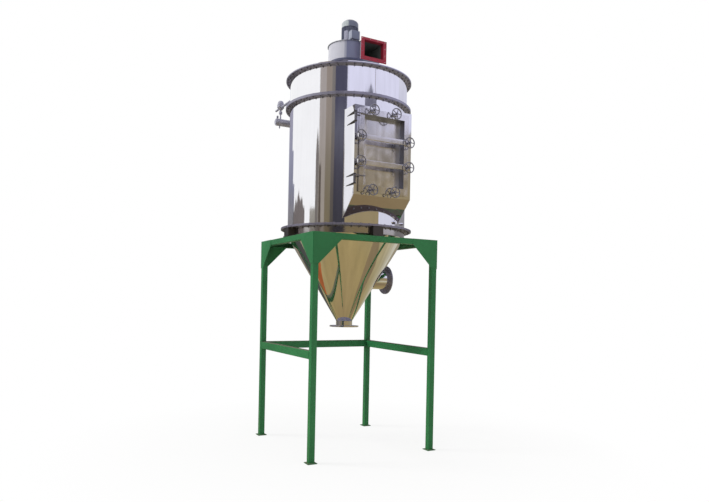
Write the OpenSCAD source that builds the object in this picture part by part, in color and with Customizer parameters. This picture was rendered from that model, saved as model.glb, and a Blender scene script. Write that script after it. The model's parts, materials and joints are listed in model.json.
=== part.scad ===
// Pulse-jet dust collector: a round filter vessel on a four-legged stand,
// with a conical hopper, an access door, a roof fan and a compressed-air header.
// Origin: middle of the stand on the floor. +Z up, the door faces -Y.

/* [Stand] */
// Leg spacing from centre to centre, both ways
leg_pitch = 1400; // [1380:10:1900]
// Side of the square leg and beam tube
tube = 60; // [50:5:80]
// Height of the top of the stand
stand_h = 2260; // [2000:10:2800]
// Top of the three cross braces above the floor
brace_top = 1094; // [500:10:1200]
// Depth of a cross brace
brace_h = 82; // [50:2:120]
// Side of a square base plate
base_w = 100; // [90:5:180]
// Thickness of a base plate
base_t = 8; // [6:1:16]
// Length of a corner gusset along the beam
gusset_l = 250; // [120:10:300]
// Thickness of a gusset plate
gusset_t = 5; // [4:1:10]

/* [Vessel] */
// Outer diameter of the round shell
shell_d = 1306; // [1080:2:1318]
// Thickness of the stainless sheet
sheet = 4; // [3:1:6]
// Height of the hopper joint above the top of the stand
joint_lift = 110; // [80:5:160]
// Length of the filter shell
body_h = 1334; // [1100:2:1600]
// Height of the clean-air chamber
chamber_h = 315; // [260:5:400]
// Width of the middle and top flange rings
ring_w = 47; // [30:1:60]
// Width of the hopper flange ring
low_ring_w = 75; // [50:1:90]
// Thickness of one flange ring
ring_t = 10; // [8:1:14]

/* [Filter] */
// Diameter of a filter bag
bag_d = 124; // [100:2:140]
// Length of a filter bag from its collar down
bag_l = 1130; // [900:10:1200]
// Distance between the bags along a row
bag_pitch = 180; // [165:5:200]
// Distance between the rows and between the pulse valves
row_pitch = 200; // [165:5:240]

/* [Hopper] */
// Straight skirt below the hopper joint
skirt_h = 81; // [60:1:100]
// Depth of the hopper from its joint to the lower end of the cone
hopper_l = 1005; // [830:5:1100]
// Outer diameter of the discharge neck
neck_d = 182; // [140:2:240]
// Length of the discharge neck
neck_h = 54; // [40:2:120]
// Diameter of the discharge flange
outlet_flange_d = 325; // [300:5:400]
// Depth of the inlet's axis below the hopper joint
inlet_drop = 532; // [440:2:600]
// Outer diameter of the inlet pipe
inlet_d = 219; // [150:1:240]
// Reach of the inlet flange from the vessel's axis
inlet_reach = 535; // [500:5:640]

/* [Access door] */
// Width of the access housing
housing_w = 668; // [556:4:804]
// Distance that the housing stands out from the shell
housing_out = 133; // [110:1:180]
// Pan depth of the door, pressed in from the front
pan_depth = 88; // [40:1:100]
// Outer diameter of a hand wheel
wheel_d = 116; // [96:2:140]
// Diameter of a clamp screw
screw_d = 12; // [10:1:16]

/* [Fan] */
// Smallest radius of the scroll casing
scroll_r = 215; // [180:5:260]
// Radius that the scroll gains in each degree of turn
scroll_gain = 0.19; // [0.1:0.01:0.25]
// Height of the scroll casing
scroll_h = 190; // [140:5:230]
// Height of the fan neck between roof and scroll
fan_lift = 218; // [170:1:260]
// Width of the fan's outlet opening
outlet_w = 250; // [200:2:260]
// Diameter of the motor over its fins
motor_d = 190; // [150:2:220]

/* [Pulse air] */
// Diameter of the compressed-air header
header_d = 84; // [70:2:110]
// Distance from the shell to the header's axis
header_out = 147; // [120:2:190]
// Diameter of a diaphragm valve
valve_d = 84; // [66:2:100]

/* [Hidden] */

// Colours
stand_green = [0.05, 0.42, 0.18];
mirror_steel = [0.80, 0.80, 0.84];
dull_steel = [0.45, 0.45, 0.48];
dark_steel = [0.25, 0.25, 0.28];
fan_grey = [0.60, 0.61, 0.70];
flange_red = [0.45, 0.08, 0.14];
felt_white = [0.90, 0.89, 0.85];
rubber_black = [0.10, 0.10, 0.10];

// Length by which a cut runs past the face that it opens
past = 1;

// Stand
half_pitch = leg_pitch / 2;
beam_l = leg_pitch - tube;
beam_out = half_pitch + tube / 2;

// Vessel heights, upwards from the floor
shell_r = shell_d / 2;
bore_r = shell_r - sheet;
neck_r = neck_d / 2;
joint_low = stand_h + joint_lift;
skirt_low = joint_low - skirt_h;
cone_low = joint_low - hopper_l;
cone_l = skirt_low - cone_low;
inlet_z = joint_low - inlet_drop;
joint_mid = joint_low + body_h;
sheet_disc_t = 6;
disc_low = joint_mid - sheet_disc_t / 2;
disc_top = joint_mid + sheet_disc_t / 2;
roof_z = joint_mid + chamber_h;
roof_t = 6;
ring_r = shell_r + ring_w;
low_ring_r = shell_r + low_ring_w;

// Bolt circles of the two duct flanges
duct_flange_t = 14;
duct_bolts = 8;
duct_hole_r = 7;
bolt_edge = 22.5;

// Filter bags and the rows that they hang in
bag_r = bag_d / 2;
bag_fit = 1;
collar_r = bag_r + 10;
collar_t = 5;
wall_gap = 5;
rows_x = [for (k = [-2.5:1:2.5]) k * row_pitch];
bags_y = [for (k = [-2.5:1:2.5]) k * bag_pitch];
bag_spots = [for (x = rows_x, y = bags_y) if (norm([x, y]) + collar_r + wall_gap < bore_r) [x, y]];

// Access housing: the front is upright, the bottom slopes back to the shell
housing_low = joint_low + 280;
housing_top = joint_mid - 164;
housing_front = -shell_r - housing_out;
housing_back = housing_front + 386;
housing_slope = 0.97;

// Door: a closed box-section frame, drawn solid, with a pan set into it
door_t = 24;
gasket_t = 6;
gasket_fit = 0.5;
pan_t = 4;
door_left = -housing_w / 2 + 46;
door_right = housing_w / 2 - 52;
door_low = housing_low + 28;
door_top = housing_top - 32;
door_mid = (door_low + door_top) / 2;
pan_left = door_left + 48;
pan_right = door_right - 52;
pan_low = door_low + 70;
pan_top = door_top - 60;
gasket_back = housing_front - gasket_fit;
door_back = gasket_back - gasket_t;
door_front = door_back - door_t;
pan_floor = door_front + pan_depth;
// Gap round the pan in the housing's mouth, wider on the side that swings in
mouth_gap = 8;
swing_gap = 14;
mouth_left = pan_left - pan_t - mouth_gap;
mouth_right = pan_right + pan_t + swing_gap;
mouth_low = pan_low - pan_t - mouth_gap;
mouth_top = pan_top + pan_t + mouth_gap;
gasket_w = 12;

// Clamp bars and the hand wheels on their screws; the bars end beyond their outer screws
bar_t = 25;
bar_h = 50;
bar_over = 21;
bar_pitch = 253;
bar_upper_z = door_mid + bar_pitch / 2;
bar_lower_z = door_mid - bar_pitch / 2;
tab_w = 50;
tab_h = 34;
tab_t = 12;
side_left = door_left - 9;
side_right = door_right - 14;
edge_left = door_left + 133;
edge_right = door_right - 179;
edge_top = door_top - 18;
edge_low = door_low + 19;
screw_r = screw_d / 2;
screw_fit = 0.05;
wheel_reach = 49.5;
wheel_y = door_front - wheel_reach;
// Left pair and right pair on the bars, then the top pair and the bottom pair
wheels = [
    [side_left, bar_upper_z], [side_left, bar_lower_z],
    [side_right, bar_upper_z], [side_right, bar_lower_z],
    [edge_left, edge_top], [edge_right, edge_top],
    [edge_left, edge_low], [edge_right, edge_low]];
// Holes and bosses behind the housing's front that take the screw tips
screw_hole_r = screw_r + 4;
boss_r = screw_r + 10;
boss_l = 14;
screw_tip = housing_front + 4;

// Door hinges: two ears on the housing hold each knuckle
ear_t = 8;
ear_r = 17;
ear_gap = 2;
pin_r = 8;
pin_fit = 0.05;
knuckle_r = 13;
hinge_l = 100;
hinge_lows = [door_low + 68, door_top - 48 - hinge_l];
pin_x = -housing_w / 2 - 10;
pin_y = door_front - 4;

// Fan on the roof: the outlet leaves the end of the spiral towards the front
fan_throat_r = 150;
casing_t = 4;
scroll_z = roof_z + roof_t + fan_lift;
scroll_top = scroll_z + scroll_h;
outlet_turn = 270;
outlet_x1 = scroll_r + scroll_gain * outlet_turn;
outlet_x0 = outlet_x1 - outlet_w;
outlet_y = -scroll_r - 85;
shaft_r = 14;
shaft_fit = 2;
// Depth to which the fan shaft enters the motor's foot
shaft_bore = 9;

// Motor, standing on the scroll
motor_r = motor_d / 2;
frame_h = 212;
box_low = scroll_top + 43;
box_h = 98;
box_x0 = -59;
box_x1 = 46;
box_fit = 1;
box_back = -motor_r + 20;
box_front = -motor_r - 60;

// Compressed-air header, with one valve and one blow pipe for each row of bags
header_r = header_d / 2;
header_y = shell_r + header_out;
header_z = joint_mid + 6;
header_half = rows_x[5] + 65;
blow_z = header_z + 175;
blow_r = 14;
blow_wall = 3;
valve_r = valve_d / 2;

// ---- Shared shapes ----

// One copy at each leg, turned so that its +X +Y corner points outwards
module at_corners() {
    for (turn = [0:90:270]) rotate([0, 0, turn]) translate([half_pitch, half_pitch, 0]) children();
}

// A block given by its limits
module block(x0, x1, y0, y1, z0, z1) {
    translate([x0, y0, z0]) cube([x1 - x0, y1 - y0, z1 - z0]);
}

// A round bar along Y, from y0 back to y1
module rod_y(x, z, r, y0, y1) {
    translate([x, y1, z]) rotate([90, 0, 0]) cylinder(r = r, h = y1 - y0, $fn = 48);
}

module ring(outer, inner, z, h) {
    translate([0, 0, z]) difference() {
        cylinder(r = outer, h = h, $fn = 120);
        translate([0, 0, -past]) cylinder(r = inner, h = h + 2 * past, $fn = 120);
    }
}

// Holes of a duct flange that lies on the XY plane
module duct_holes(flange_r) {
    for (k = [0:duct_bolts - 1]) rotate([0, 0, (k + 0.5) * 360 / duct_bolts])
        translate([flange_r - bolt_edge, 0, -past])
            cylinder(r = duct_hole_r, h = duct_flange_t + 2 * past, $fn = 24);
}

// The space inside the shell, to trim what is welded to its outside
module shell_core() {
    cylinder(r = shell_r, h = roof_z + past, $fn = 120);
}

// ---- Stand ----

module base_plates() {
    hole_r = 7;
    hole_at = base_w / 2 - 12;
    color(stand_green) at_corners() difference() {
        block(-base_w / 2, base_w / 2, -base_w / 2, base_w / 2, 0, base_t);
        for (s = [-1, 1]) translate([s * hole_at, s * hole_at, -past])
            cylinder(r = hole_r, h = base_t + 2 * past, $fn = 32);
    }
}

module legs() {
    color(stand_green) at_corners() block(-tube / 2, tube / 2, -tube / 2, tube / 2, base_t, stand_h);
}

// A bar between two legs, behind the origin
module side_bar(top, h) {
    block(-beam_l / 2, beam_l / 2, half_pitch - tube / 2, beam_out, top - h, top);
}

module top_beams() {
    color(stand_green) for (turn = [0:90:270]) rotate([0, 0, turn]) side_bar(stand_h, tube);
}

// The front is left open so that a drum can be rolled in under the outlet
module cross_braces() {
    color(stand_green) for (turn = [-90, 0, 90]) rotate([0, 0, turn]) side_bar(brace_top, brace_h);
}

// A plate on the outer face of a corner, from the leg to the beam
module corner_gusset() {
    reach = gusset_l + tube;
    rotate([90, 0, 0]) linear_extrude(gusset_t) polygon([
        [-beam_out, stand_h],
        [-beam_out + reach, stand_h],
        [-beam_out + reach, stand_h - tube],
        [-beam_out + tube, stand_h - reach],
        [-beam_out, stand_h - reach]]);
}

module gusset_plates() {
    color(stand_green) for (turn = [0:90:270], side = [0, 1]) {
        rotate([0, 0, turn]) mirror([side, 0, 0]) translate([0, -beam_out, 0]) corner_gusset();
    }
}

// Four box brackets stand on the beams and carry the hopper flange
module support_lugs() {
    lug_w = 120;
    plate = 10;
    top = joint_low - ring_t;
    lug_out = half_pitch + tube / 3;
    color(dull_steel) for (turn = [0:90:270]) rotate([0, 0, turn]) difference() {
        union() {
            block(-lug_w / 2, lug_w / 2, half_pitch - tube / 2, beam_out, stand_h, stand_h + plate);
            block(-lug_w / 2, lug_w / 2, lug_out - plate, lug_out, stand_h, top);
            for (x = [-lug_w / 2, lug_w / 2 - plate])
                block(x, x + plate, shell_r * 0.9, lug_out, stand_h + plate, top);
        }
        shell_core();
    }
}

// ---- Vessel ----

// Skirt and cone in one sheet, open at both ends
module hopper() {
    lean = sheet * norm([cone_l, shell_r - neck_r]) / cone_l;
    color(mirror_steel) difference() {
        rotate_extrude($fn = 120) polygon([
            [neck_r, cone_low], [shell_r, skirt_low], [shell_r, joint_low],
            [bore_r, joint_low], [bore_r, skirt_low], [neck_r - lean, cone_low]]);
        translate([0, 0, inlet_z]) rotate([0, 90, 0])
            cylinder(r = inlet_d / 2 - sheet, h = shell_r, $fn = 64);
    }
}

module discharge_neck() {
    flange_r = outlet_flange_d / 2;
    tube_l = neck_h + duct_flange_t;
    color(mirror_steel) translate([0, 0, cone_low - tube_l]) difference() {
        union() {
            cylinder(r = neck_r, h = tube_l, $fn = 64);
            cylinder(r = flange_r, h = duct_flange_t, $fn = 64);
        }
        translate([0, 0, -past]) cylinder(r = neck_r - sheet, h = tube_l + 2 * past, $fn = 64);
        duct_holes(flange_r);
    }
}

// Round inlet on the side of the cone, ending in a bolting flange
module inlet_duct() {
    flange_r = inlet_d / 2 + 53;
    color(mirror_steel) difference() {
        translate([0, 0, inlet_z]) rotate([0, 90, 0]) difference() {
            union() {
                cylinder(r = inlet_d / 2, h = inlet_reach, $fn = 64);
                translate([0, 0, inlet_reach - duct_flange_t])
                    cylinder(r = flange_r, h = duct_flange_t, $fn = 64);
            }
            translate([0, 0, -past])
                cylinder(r = inlet_d / 2 - sheet, h = inlet_reach + 2 * past, $fn = 64);
            translate([0, 0, inlet_reach - duct_flange_t]) duct_holes(flange_r);
        }
        translate([0, 0, cone_low]) cylinder(r1 = neck_r, r2 = shell_r, h = cone_l, $fn = 120);
    }
}

// Two flanges with the joint between them, drawn as one ring with a groove
module hopper_flange_ring() {
    groove = 3;
    color(dull_steel) rotate_extrude($fn = 120) polygon([
        [shell_r, joint_low - ring_t], [low_ring_r, joint_low - ring_t],
        [low_ring_r, joint_low - groove / 2], [low_ring_r - groove, joint_low - groove / 2],
        [low_ring_r - groove, joint_low + groove / 2], [low_ring_r, joint_low + groove / 2],
        [low_ring_r, joint_low + ring_t], [shell_r, joint_low + ring_t]]);
}

// Side outline of the access housing, seen along X
module housing_outline(inset) {
    drop = housing_slope * (housing_back - housing_front - inset);
    polygon([
        [housing_front + inset, housing_low + inset],
        [housing_back, housing_low + inset - drop],
        [housing_back, housing_top - inset],
        [housing_front + inset, housing_top - inset]]);
}

module housing_prism(inset) {
    width = housing_w - 2 * inset;
    translate([-width / 2, 0, 0]) rotate([90, 0, 90]) linear_extrude(width) housing_outline(inset);
}

// A plugged threaded socket on the shell, at an angle from +X
module shell_socket(angle, z, r) {
    collar = 8;
    reach = 22;
    rotate([0, 0, angle]) translate([bore_r + sheet / 2, 0, z]) rotate([0, 90, 0]) {
        cylinder(r = r, h = reach, $fn = 32);
        cylinder(r = r * 0.7, h = reach + collar, $fn = 32);
    }
}

// The shell has a large opening behind the access housing, and two gauge sockets
module filter_shell() {
    socket_z = joint_low + 60;
    color(mirror_steel) difference() {
        union() {
            ring(shell_r, bore_r, joint_low, body_h - sheet_disc_t / 2);
            shell_socket(-66.5, socket_z, 20);
            shell_socket(-52, socket_z, 14);
        }
        housing_prism(sheet);
    }
}

module middle_flange_ring() {
    color(dull_steel) {
        ring(ring_r, shell_r, disc_low - ring_t, ring_t);
        ring(ring_r, shell_r, disc_top, ring_t);
    }
}

module tube_sheet() {
    color(dull_steel) difference() {
        translate([0, 0, disc_low]) cylinder(r = ring_r, h = sheet_disc_t, $fn = 120);
        for (p = bag_spots) translate([p[0], p[1], disc_low - past])
            cylinder(r = bag_r + bag_fit, h = sheet_disc_t + 2 * past, $fn = 32);
    }
}

// Each bag hangs through the tube sheet by its collar, with a short venturi throat
module filter_bags() {
    throat_r = bag_r * 0.4;
    throat_h = 60;
    color(felt_white) for (p = bag_spots) translate([p[0], p[1], disc_top])
        rotate_extrude($fn = 32) polygon([
            [0, -bag_l], [bag_r, -bag_l], [bag_r, 0], [collar_r, 0], [collar_r, collar_t],
            [throat_r + 4, collar_t], [throat_r, collar_t - throat_h], [0, collar_t - throat_h]]);
}

module clean_air_chamber() {
    color(mirror_steel) difference() {
        ring(shell_r, bore_r, disc_top, roof_z - disc_top);
        for (x = rows_x) rod_y(x, blow_z, blow_r, 0, shell_d);
    }
}

module top_flange_ring() {
    color(dull_steel) ring(ring_r, shell_r, roof_z - ring_t, ring_t);
}

module roof_plate() {
    color(mirror_steel) ring(ring_r, fan_throat_r, roof_z, roof_t);
}

// ---- Access housing and door ----

module access_housing() {
    color(mirror_steel) difference() {
        union() {
            difference() {
                housing_prism(0);
                housing_prism(sheet);
            }
            for (p = wheels) rod_y(p[0], p[1], boss_r, housing_front + past, housing_front + boss_l);
        }
        shell_core();
        block(mouth_left, mouth_right, housing_front - past, housing_front + 2 * boss_l,
            mouth_low, mouth_top);
        for (p = wheels)
            rod_y(p[0], p[1], screw_hole_r, housing_front - past, housing_front + 2 * boss_l);
    }
}

module door_panel() {
    color(mirror_steel) difference() {
        union() {
            block(door_left, door_right, door_front, door_back, door_low, door_top);
            block(pan_left - pan_t, pan_right + pan_t, door_back, pan_floor,
                pan_low - pan_t, pan_top + pan_t);
            for (x = [edge_left, edge_right], z = [edge_low, edge_top])
                block(x - tab_w / 2, x + tab_w / 2, door_front - tab_t, door_front,
                    z - tab_h / 2, z + tab_h / 2);
        }
        block(pan_left, pan_right, door_front - past, pan_floor - pan_t, pan_low, pan_top);
        for (p = wheels)
            rod_y(p[0], p[1], screw_r + screw_fit, door_front - tab_t - past, door_back + past);
    }
}

// A flat band that closes on the housing all round its mouth
module door_gasket() {
    color(rubber_black) difference() {
        block(mouth_left - gasket_w, mouth_right + gasket_w, door_back, gasket_back,
            mouth_low - gasket_w, mouth_top + gasket_w);
        block(mouth_left, mouth_right, door_back - past, gasket_back + past, mouth_low, mouth_top);
    }
}

module clamp_bar(z) {
    color(mirror_steel) difference() {
        block(side_left - bar_over, side_right + bar_over, door_front - bar_t, door_front,
            z - bar_h / 2, z + bar_h / 2);
        for (x = [side_left, side_right])
            rod_y(x, z, screw_r + screw_fit, door_front - bar_t - past, door_front + past);
    }
}

module clamp_bar_upper() { clamp_bar(bar_upper_z); }
module clamp_bar_lower() { clamp_bar(bar_lower_z); }

// Each arm is a strap across the door's edge, welded to a knuckle between the ears
module hinge_arms() {
    arm_t = 8;
    arm_deep = 18;
    over_pan = 12;
    color(dark_steel) for (z = hinge_lows) {
        low = z + ear_t + ear_gap;
        high = z + hinge_l - ear_t - ear_gap;
        difference() {
            union() {
                translate([pin_x, pin_y, low]) cylinder(r = knuckle_r, h = high - low, $fn = 48);
                block(pin_x, pan_left + over_pan, door_front - arm_deep, door_front, high - arm_t, high);
            }
            translate([pin_x, pin_y, low - past])
                cylinder(r = pin_r + pin_fit, h = high - low + 2 * past, $fn = 48);
        }
    }
}

// Each ear is a tapered web, welded to the side of the housing by its long foot
module hinge_ears() {
    foot_l = 165;
    web_r = ear_r - 1;
    web_y = pin_y + 4;
    color(dark_steel) for (z = hinge_lows, up = [0, hinge_l - ear_t]) {
        translate([0, 0, z + up]) difference() {
            union() {
                linear_extrude(ear_t) polygon([
                    [-housing_w / 2, housing_front + foot_l], [-housing_w / 2, housing_front],
                    [pin_x + web_r, web_y], [pin_x - web_r, web_y]]);
                translate([pin_x, pin_y, 0]) cylinder(r = ear_r, h = ear_t, $fn = 48);
            }
            translate([pin_x, pin_y, -past]) cylinder(r = pin_r, h = ear_t + 2 * past, $fn = 48);
        }
    }
}

module hinge_pins() {
    head_t = 4;
    color(dark_steel) for (z = hinge_lows) translate([pin_x, pin_y, z]) {
        cylinder(r = pin_r, h = hinge_l, $fn = 48);
        translate([0, 0, hinge_l]) cylinder(r = pin_r + 3, h = head_t, $fn = 48);
    }
}

// A cast wheel and its clamp screw, which turn as one; the collar stops on a bar or a tab
module hand_wheel(p, seat_t) {
    rim_r = 5.5;
    rim_at = wheel_d / 2 - rim_r;
    spoke_r = 4;
    hub_r = screw_r + 6;
    hub_l = 22;
    collar_gap = 1;
    spokes = 5;
    color(dark_steel) {
        translate([p[0], wheel_y, p[1]]) rotate([90, 0, 0]) {
            rotate_extrude($fn = 64) translate([rim_at, 0]) circle(r = rim_r, $fn = 20);
            translate([0, 0, -hub_l / 2]) cylinder(r = hub_r, h = hub_l, $fn = 48);
            for (k = [0:spokes - 1]) rotate([0, 90, 0]) rotate([k * 360 / spokes, 0, 0])
                cylinder(r = spoke_r, h = rim_at, $fn = 16);
        }
        rod_y(p[0], p[1], screw_r, wheel_y, screw_tip);
        rod_y(p[0], p[1], hub_r - 3, wheel_y, door_front - seat_t - collar_gap);
    }
}

module hand_wheel_1() { hand_wheel(wheels[0], bar_t); }
module hand_wheel_2() { hand_wheel(wheels[1], bar_t); }
module hand_wheel_3() { hand_wheel(wheels[2], bar_t); }
module hand_wheel_4() { hand_wheel(wheels[3], bar_t); }
module hand_wheel_5() { hand_wheel(wheels[4], tab_t); }
module hand_wheel_6() { hand_wheel(wheels[5], tab_t); }
module hand_wheel_7() { hand_wheel(wheels[6], tab_t); }
module hand_wheel_8() { hand_wheel(wheels[7], tab_t); }

// ---- Fan ----

// Spiral outline: the radius grows clockwise from the tongue at the front
function spiral(extra) = [for (turn = [0:6:outlet_turn])
    let (a = -90 - turn, r = scroll_r + scroll_gain * turn + extra) [r * cos(a), r * sin(a)]];

// The spiral with its straight outlet, widened by extra all round except at the outlet's face
module scroll_outline(extra) {
    polygon(concat(spiral(extra), [[outlet_x1 + extra, outlet_y],
        [outlet_x0 - extra, outlet_y], [outlet_x0 - extra, -scroll_r - extra]]));
}

module fan_neck() {
    foot_r = fan_throat_r + 50;
    foot_t = 10;
    color(fan_grey) translate([0, 0, roof_z + roof_t]) difference() {
        union() {
            cylinder(r = fan_throat_r + casing_t, h = fan_lift, $fn = 64);
            cylinder(r = foot_r, h = foot_t, $fn = 64);
        }
        translate([0, 0, -past]) cylinder(r = fan_throat_r, h = fan_lift + 2 * past, $fn = 64);
    }
}

module fan_scroll() {
    rim = 10;
    color(fan_grey) difference() {
        union() {
            translate([0, 0, scroll_z]) linear_extrude(scroll_h - casing_t) scroll_outline(0);
            translate([0, 0, scroll_top - casing_t]) linear_extrude(casing_t) scroll_outline(rim);
        }
        translate([0, 0, scroll_z + casing_t]) linear_extrude(scroll_h - 2 * casing_t) union() {
            scroll_outline(-casing_t);
            translate([outlet_x0 + casing_t, outlet_y - past])
                square([outlet_w - 2 * casing_t, -outlet_y]);
        }
        translate([0, 0, scroll_z - past])
            cylinder(r = fan_throat_r, h = casing_t + 2 * past, $fn = 64);
        translate([0, 0, scroll_top - casing_t - past])
            cylinder(r = shaft_r + shaft_fit, h = casing_t + 2 * past, $fn = 32);
    }
}

// Counterflange of the outlet with bolt holes all round; its collar lines the end of the duct
module fan_outlet_flange() {
    flange_t = 8;
    side_w = 34;
    top_w = 20;
    low_w = 34;
    collar_l = 50;
    collar_wall = 3;
    hole_r = 5;
    gaps = 3;
    left = outlet_x0 - side_w / 2;
    low = scroll_z - low_w / 2;
    step_x = (outlet_w + side_w) / gaps;
    step_z = (scroll_h + low_w / 2 + top_w / 2) / gaps;
    lining = casing_t + collar_wall;
    color(flange_red) difference() {
        union() {
            block(outlet_x0 - side_w, outlet_x1 + side_w, outlet_y - flange_t, outlet_y,
                scroll_z - low_w, scroll_top + top_w);
            block(outlet_x0 + casing_t, outlet_x1 - casing_t, outlet_y, outlet_y + collar_l,
                scroll_z + casing_t, scroll_top - casing_t);
        }
        block(outlet_x0 + lining, outlet_x1 - lining,
            outlet_y - flange_t - past, outlet_y + collar_l + past,
            scroll_z + lining, scroll_top - lining);
        for (i = [0:gaps], j = [0:gaps]) if (i == 0 || i == gaps || j == 0 || j == gaps)
            rod_y(left + i * step_x, low + j * step_z, hole_r,
                outlet_y - flange_t - past, outlet_y + past);
    }
}

// One blade: an arc of a short tube, leaning back from the turn
module blade(wheel_r, h) {
    blade_t = 3;
    inner = wheel_r * 0.45;
    bow = wheel_r * 0.62;
    intersection() {
        translate([bow, -wheel_r * 0.35, 0]) difference() {
            cylinder(r = bow * 0.8, h = h, $fn = 64);
            translate([0, 0, -past]) cylinder(r = bow * 0.8 - blade_t, h = h + 2 * past, $fn = 64);
        }
        difference() {
            block(0, wheel_r, -wheel_r * 0.3, wheel_r, 0, h);
            translate([0, 0, -past]) cylinder(r = inner, h = h + 2 * past, $fn = 64);
        }
        cylinder(r = wheel_r - 2, h = h, $fn = 64);
    }
}

// Backward-curved wheel hung from the motor shaft
module fan_impeller() {
    wheel_r = scroll_r - 45;
    disc_t = 4;
    blade_h = 90;
    blades = 10;
    hub_r = 28;
    hub_h = 56;
    top = scroll_top - casing_t - 14;
    color(dark_steel) {
        translate([0, 0, top - disc_t]) cylinder(r = wheel_r, h = disc_t, $fn = 64);
        translate([0, 0, top - disc_t - hub_h]) cylinder(r = hub_r, h = hub_h, $fn = 32);
        translate([0, 0, top]) cylinder(r = shaft_r, h = scroll_top + shaft_bore - top, $fn = 32);
        for (k = [0:blades - 1]) rotate([0, 0, k * 360 / blades])
            translate([0, 0, top - disc_t / 2 - blade_h]) blade(wheel_r, blade_h);
    }
}

// The terminal box's room is cut out of the fins
module motor() {
    foot_r = motor_r + 10;
    foot_t = 14;
    fin_t = 4;
    fin_h = 12;
    fin_up = 20;
    fins = 28;
    color(fan_grey) difference() {
        union() {
            translate([0, 0, scroll_top]) cylinder(r = foot_r, h = foot_t, $fn = 64);
            translate([0, 0, scroll_top + foot_t])
                cylinder(r = motor_r - fin_h, h = frame_h - foot_t, $fn = 64);
            translate([0, 0, scroll_top + foot_t + fin_up]) linear_extrude(frame_h - foot_t - fin_up)
                for (k = [0:fins - 1]) rotate(k * 360 / fins)
                    translate([0, -fin_t / 2]) square([motor_r, fin_t]);
        }
        translate([0, 0, scroll_top - past])
            cylinder(r = shaft_r + shaft_fit, h = shaft_bore + past, $fn = 32);
        block(box_x0 - box_fit, box_x1 + box_fit, box_front, box_back,
            box_low - box_fit, box_low + box_h + box_fit);
    }
}

// Domed cowl over the cooling fan
module motor_cowl() {
    skirt = 45;
    dome = 48;
    color(fan_grey) translate([0, 0, scroll_top + frame_h]) rotate_extrude($fn = 64)
        polygon(concat([[0, 0], [motor_r, 0], [motor_r, skirt]],
            [for (a = [10:10:80]) [motor_r * cos(a), skirt + dome * sin(a)]],
            [[0, skirt + dome]]));
}

module terminal_box() {
    color(fan_grey) block(box_x0, box_x1, box_front, box_back, box_low, box_low + box_h);
}

// ---- Pulse air ----

module header_pipe(half, r) {
    translate([-half, header_y, header_z]) rotate([0, 90, 0]) cylinder(r = r, h = 2 * half, $fn = 64);
}

// The header with its stepped ends, a drain below and a relief valve on top
module air_header() {
    cap = 8;
    stub_x = rows_x[0] - 10;
    relief_x = rows_x[0] - 38;
    color(dull_steel) {
        header_pipe(header_half - cap, header_r);
        header_pipe(header_half, header_r * 0.7);
        translate([stub_x, header_y, header_z - header_r - 28]) cylinder(r = 7, h = 40, $fn = 32);
        translate([relief_x, header_y, header_z]) {
            cylinder(r = 6, h = header_r + 14, $fn = 32);
            translate([0, 0, header_r + 8]) cylinder(r = 12, h = 24, $fn = 32);
        }
    }
}

// Two welded plates, each with a saddle for the header
module header_brackets() {
    plate = 10;
    saddle_w = 60;
    saddle_low = header_z - header_r - 16;
    color(dull_steel) for (x = [rows_x[1], rows_x[4]]) difference() {
        union() {
            block(x - plate / 2, x + plate / 2, shell_r * 0.6, header_y + header_r,
                saddle_low - 30, saddle_low + plate);
            block(x - saddle_w / 2, x + saddle_w / 2, header_y - header_r, header_y + header_r,
                saddle_low, header_z - header_r + 12);
        }
        shell_core();
        header_pipe(header_half, header_r);
    }
}

// Outline of one valve: riser with a union nut, bell-shaped body and domed cap
module valve_profile() {
    riser_r = 8;
    nut_r = 20;
    polygon([
        [0, header_z - blow_z], [riser_r, header_z - blow_z],
        [riser_r, -74], [nut_r, -74], [nut_r, -44], [riser_r, -44], [riser_r, -26],
        [nut_r, -26], [valve_r - 4, 0], [valve_r, 0], [valve_r, 36], [valve_r - 4, 36],
        [valve_r - 6, 56], [valve_r - 12, 72], [valve_r - 24, 82], [0, 84]]);
}

// Right-angle diaphragm valves, one on top of the header for each blow pipe
module pulse_valves() {
    tail_r = 12;
    tail_l = 150;
    color(dull_steel) for (x = rows_x) difference() {
        union() {
            translate([x, header_y, blow_z]) rotate_extrude($fn = 48) valve_profile();
            rod_y(x, blow_z, tail_r, header_y + past, header_y + tail_l);
        }
        header_pipe(header_half, header_r);
        rod_y(x, blow_z, blow_r, 0, header_y);
    }
}

// Each blow pipe runs over its row of bags, with a nozzle hole above every throat
module blow_pipes() {
    end_gap = 40;
    nozzle_r = 5;
    color(dull_steel) for (x = rows_x) {
        far = -sqrt(pow(bore_r, 2) - pow(x, 2)) + end_gap;
        difference() {
            rod_y(x, blow_z, blow_r, far, header_y);
            rod_y(x, blow_z, blow_r - blow_wall, far + blow_wall, header_y + past);
            for (p = bag_spots) if (p[0] == x) translate([x, p[1], blow_z - blow_r - past])
                cylinder(r = nozzle_r, h = blow_r, $fn = 24);
        }
    }
}

base_plates();
legs();
top_beams();
cross_braces();
gusset_plates();
support_lugs();
hopper();
discharge_neck();
inlet_duct();
hopper_flange_ring();
filter_shell();
middle_flange_ring();
tube_sheet();
filter_bags();
clean_air_chamber();
top_flange_ring();
roof_plate();
access_housing();
door_panel();
door_gasket();
clamp_bar_upper();
clamp_bar_lower();
hinge_arms();
hinge_ears();
hinge_pins();
hand_wheel_1();
hand_wheel_2();
hand_wheel_3();
hand_wheel_4();
hand_wheel_5();
hand_wheel_6();
hand_wheel_7();
hand_wheel_8();
fan_neck();
fan_scroll();
fan_outlet_flange();
fan_impeller();
motor();
motor_cowl();
terminal_box();
air_header();
header_brackets();
pulse_valves();
blow_pipes();
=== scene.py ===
"""Visual model of a pulse-jet dust collector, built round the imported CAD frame."""

import json
import math

import bmesh
import bpy
from mathutils import Matrix, Vector


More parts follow.
